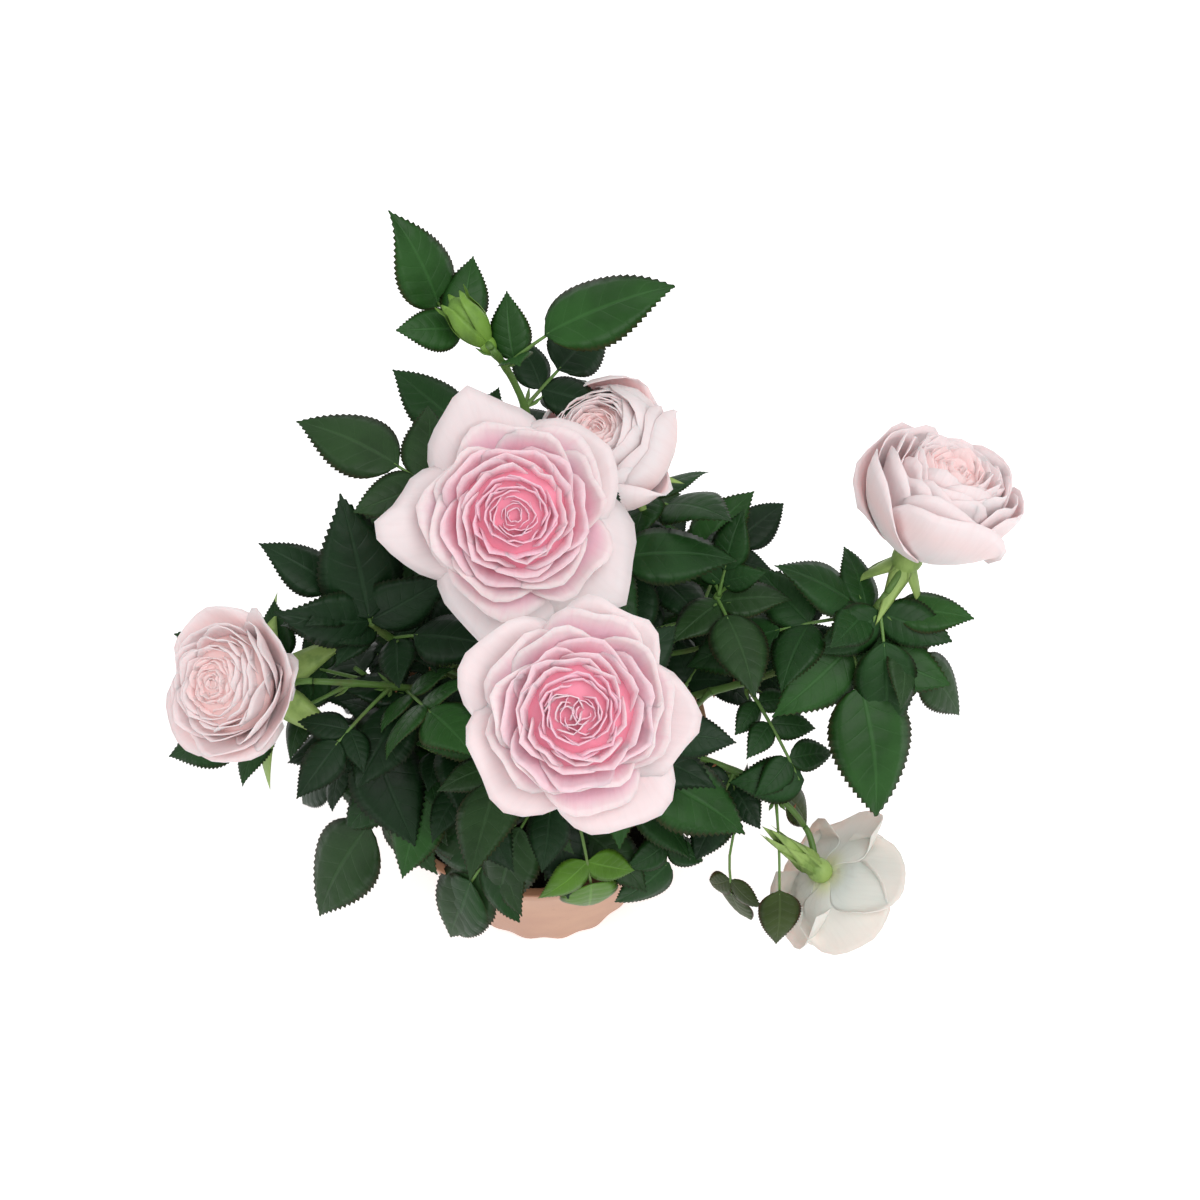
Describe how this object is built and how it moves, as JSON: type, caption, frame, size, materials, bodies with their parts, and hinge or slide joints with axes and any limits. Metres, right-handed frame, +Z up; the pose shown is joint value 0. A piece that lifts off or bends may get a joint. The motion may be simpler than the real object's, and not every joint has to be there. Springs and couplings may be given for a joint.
{
  "type": "miniature rose bush in a pot",
  "caption": "Small potted rose bush: upright and arching green canes with toothed compound leaves, full double pale pink blooms, one nodding white bloom and a green bud, in a plain plant pot.",
  "frame": {"origin": "middle of the pot's flat underside, on the surface that it stands on", "axes": "+Z up, -Y towards the front, where the largest bloom leans out, +X to the plant's right-hand side as seen from the front"},
  "size_m": [0.2394, 0.1718, 0.245],
  "materials": {
    "pot_plastic": "satin moulded terracotta-coloured plastic",
    "potting_mix": "crumbly, dark and damp",
    "green_cane": "smooth green bark, browner at the soil",
    "rose_leaf": "satin dark green, paler beneath, with reddish margins on young leaves",
    "pink_petal": "soft matt, deeper pink towards the heart",
    "white_petal": "soft matt white",
    "bud_green": "matt fresh green"
  },
  "bodies": {
    "root": {"pot": "pot_plastic", "soil": "potting_mix", "cane_front": "green_cane", "cane_upper": "green_cane", "cane_small": "green_cane", "cane_bud": "green_cane", "cane_left": "green_cane", "cane_right": "green_cane", "cane_nodding": "green_cane", "cane_left_inner": "green_cane", "cane_left_low": "green_cane", "cane_front_low": "green_cane", "cane_right_inner": "green_cane", "cane_back": "green_cane", "cane_back_left": "green_cane", "cane_back_right": "green_cane", "foliage_front": "rose_leaf", "foliage_upper": "rose_leaf", "foliage_small": "rose_leaf", "foliage_bud": "rose_leaf", "foliage_left": "rose_leaf", "foliage_right": "rose_leaf", "foliage_nodding": "rose_leaf", "foliage_left_inner": "rose_leaf", "foliage_left_low": "rose_leaf", "foliage_front_low": "rose_leaf", "foliage_right_inner": "rose_leaf", "foliage_back": "rose_leaf", "foliage_back_left": "rose_leaf", "foliage_back_right": "rose_leaf", "bloom_front": "pink_petal", "bloom_upper": "pink_petal", "bloom_small": "pink_petal", "bloom_left": "pink_petal", "bloom_right": "pink_petal", "bloom_nodding": "white_petal", "bud": "bud_green"}
  },
  "joints": []
}
